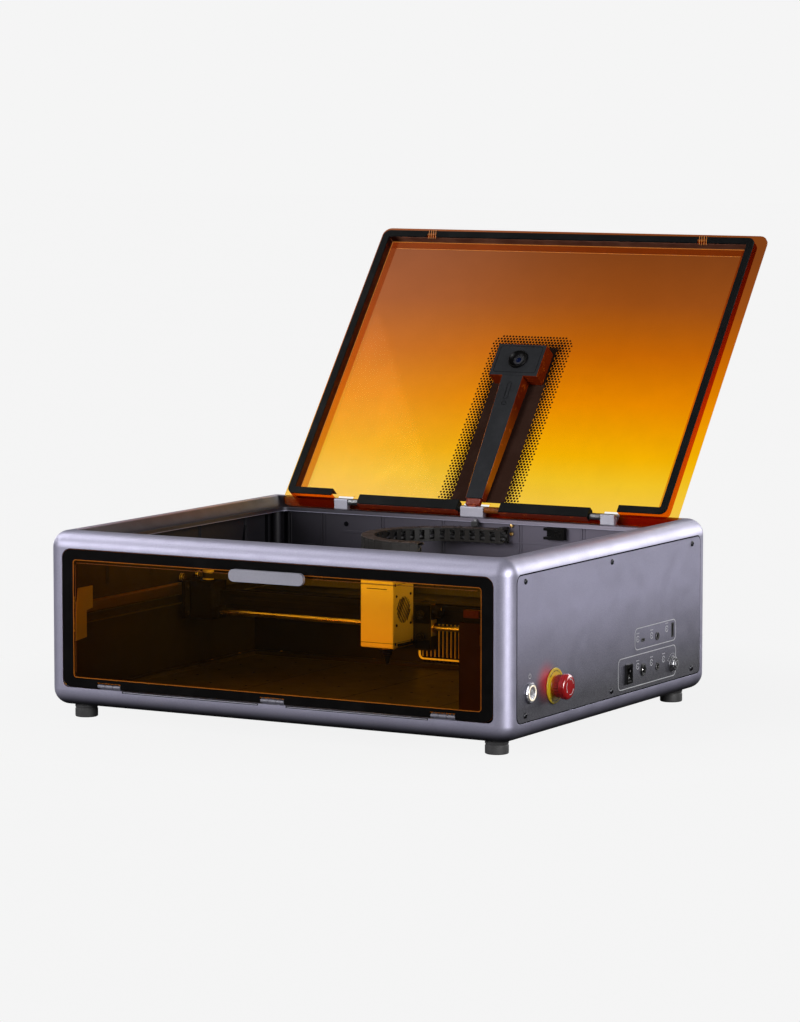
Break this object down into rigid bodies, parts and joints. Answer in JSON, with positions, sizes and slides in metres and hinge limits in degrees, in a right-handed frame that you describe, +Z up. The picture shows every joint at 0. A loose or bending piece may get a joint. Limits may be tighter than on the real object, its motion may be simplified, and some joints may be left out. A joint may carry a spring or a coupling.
{
  "type": "desktop laser cutter",
  "caption": "Enclosed desktop laser cutter with open lid, front door, control panel and two-axis laser gantry.",
  "frame": {"origin": "on the table under the middle of the bounding box, with the lid open", "axes": "+X to the control panel side, +Y to the back, +Z up"},
  "size_m": [0.5866, 0.7002, 0.508],
  "materials": {
    "case": "satin metallic lilac-grey",
    "dark_liner": "matt dark grey powder coat",
    "black_plastic": "fine moulded grain",
    "rubber": "matt",
    "amber": "clear polished amber acrylic",
    "steel": "ground",
    "silver": "anodised satin",
    "yellow": "satin",
    "red": "gloss",
    "board": "solder mask"
  },
  "bodies": {
    "case": {"case_shell": "case", "base_plate": "dark_liner", "foot_front_left": "rubber", "foot_front_right": "rubber", "foot_rear_left": "rubber", "foot_rear_right": "rubber", "chamber_liner": "dark_liner", "work_bed": "dark_liner", "exhaust_duct": "dark_liner", "exhaust_flange": "black_plastic", "side_panel": "case", "control_board": "board", "dc_inlet": "black_plastic", "power_button_bezel": "silver", "estop_base": "yellow", "rocker_housing": "black_plastic", "key_barrel": "steel", "door_hinge_left": "case", "door_hinge_centre": "case", "door_hinge_right": "case", "lid_hinge_block_left": "case", "lid_hinge_block_centre": "case", "lid_hinge_block_right": "case", "y_rail_left": "steel", "y_rail_right": "steel", "y_belt_left": "rubber", "y_belt_right": "rubber", "y_motor": "black_plastic", "drag_chain": "black_plastic"},
    "lid": {"lid_pane": "amber", "lid_rim": "amber", "lid_frame": "black_plastic", "lid_hinge_bar_left": "black_plastic", "lid_hinge_bar_right": "black_plastic", "lid_hinge_pin": "steel", "camera_arm": "black_plastic", "camera_lens": "black_plastic"},
    "door": {"door_frame": "black_plastic", "door_window": "amber", "door_handle": "silver"},
    "gantry": {"gantry_frame": "dark_liner", "x_rod": "steel", "x_motor": "black_plastic", "x_belt": "rubber"},
    "carriage": {"carriage": "black_plastic"},
    "laser_head": {"laser_housing": "silver", "laser_nozzle": "steel"},
    "laser_fan": {"laser_fan_rotor": "black_plastic"},
    "focus_knob": {"focus_knob": "black_plastic"},
    "exhaust_fan": {"exhaust_fan_rotor": "black_plastic"},
    "y_shaft": {"y_drive_shaft": "steel"},
    "y_idler_left": {"y_idler_left": "steel"},
    "y_idler_right": {"y_idler_right": "steel"},
    "x_pulley": {"x_pulley": "steel"},
    "x_idler": {"x_idler": "steel"},
    "rocker": {"rocker": "black_plastic"},
    "key": {"key_rotor": "steel"},
    "power_button": {"power_button_cap": "silver"},
    "estop_stem": {"estop_stem": "black_plastic"},
    "estop_cap": {"estop_cap": "red"}
  },
  "joints": [
    {"name": "lid_hinge", "type": "hinge", "parent": "case", "child": "lid", "pos_m": [-0.0095, 0.10429, 0.2009], "axis": [1, 0, 0], "range_deg": [0, 127.97]},
    {"name": "door_hinge", "type": "hinge", "parent": "case", "child": "door", "pos_m": [-0.0095, -0.33631, 0.0385], "axis": [1, 0, 0], "range_deg": [0, 90]},
    {"name": "gantry_slide", "type": "slide", "parent": "case", "child": "gantry", "axis": [0, 1, 0], "range_m": [-0.168, 0.122], "deforming": ["drag_chain"]},
    {"name": "carriage_slide", "type": "slide", "parent": "gantry", "child": "carriage", "axis": [1, 0, 0], "range_m": [-0.186, 0.14], "deforming": ["drag_chain"]},
    {"name": "focus_slide", "type": "slide", "parent": "carriage", "child": "laser_head", "axis": [0, 0, 1], "range_m": [-0.02, 0.01]},
    {"name": "focus_knob_turn", "type": "hinge", "parent": "carriage", "child": "focus_knob", "pos_m": [0.0525, -0.10111, 0.111], "axis": [1, 0, 0], "range_deg": [-192, 96]},
    {"name": "laser_fan_spin", "type": "hinge", "parent": "laser_head", "child": "laser_fan", "pos_m": [0.0205, -0.12911, 0.115], "axis": [1, 0, 0], "continuous": true},
    {"name": "exhaust_fan_spin", "type": "hinge", "parent": "case", "child": "exhaust_fan", "pos_m": [0.1405, 0.11389, 0.06], "axis": [0, 1, 0], "continuous": true},
    {"name": "y_shaft_turn", "type": "hinge", "parent": "case", "child": "y_shaft", "pos_m": [-0.0095, 0.08789, 0.106], "axis": [1, 0, 0], "continuous": true},
    {"name": "y_idler_left_turn", "type": "hinge", "parent": "case", "child": "y_idler_left", "pos_m": [-0.269, -0.31611, 0.106], "axis": [1, 0, 0], "continuous": true},
    {"name": "y_idler_right_turn", "type": "hinge", "parent": "case", "child": "y_idler_right", "pos_m": [0.2353, -0.31611, 0.106], "axis": [1, 0, 0], "continuous": true},
    {"name": "x_pulley_turn", "type": "hinge", "parent": "gantry", "child": "x_pulley", "pos_m": [-0.2445, -0.08861, 0.13], "axis": [0, 0, 1], "continuous": true},
    {"name": "x_idler_turn", "type": "hinge", "parent": "gantry", "child": "x_idler", "pos_m": [0.2125, -0.08861, 0.13], "axis": [0, 0, 1], "continuous": true},
    {"name": "rocker_tilt", "type": "hinge", "parent": "case", "child": "rocker", "pos_m": [0.2715, -0.07001, 0.0543], "axis": [0, 1, 0], "range_deg": [-16, 0]},
    {"name": "key_turn", "type": "hinge", "parent": "case", "child": "key", "pos_m": [0.2705, 0.04019, 0.0517], "axis": [1, 0, 0], "range_deg": [0, 90]},
    {"name": "power_button_press", "type": "slide", "parent": "case", "child": "power_button", "axis": [-1, 0, 0], "range_m": [0, 0.0015], "stiffness_N_per_m": 600},
    {"name": "estop_press", "type": "slide", "parent": "case", "child": "estop_stem", "axis": [-1, 0, 0], "range_m": [0, 0.0035]},
    {"name": "estop_twist", "type": "hinge", "parent": "estop_stem", "child": "estop_cap", "pos_m": [0.2865, -0.24131, 0.0638], "axis": [1, 0, 0], "range_deg": [0, 45], "stiffness_Nm_per_rad": 0.02}
  ],
  "couplings": [
    {"joint": "focus_knob_turn", "follows": "focus_slide", "rad_per_m": 166.67},
    {"joint": "y_shaft_turn", "follows": "gantry_slide", "rad_per_m": -200},
    {"joint": "y_idler_left_turn", "follows": "gantry_slide", "rad_per_m": -200},
    {"joint": "y_idler_right_turn", "follows": "gantry_slide", "rad_per_m": -200},
    {"joint": "x_pulley_turn", "follows": "carriage_slide", "rad_per_m": 200},
    {"joint": "x_idler_turn", "follows": "carriage_slide", "rad_per_m": 200}
  ]
}
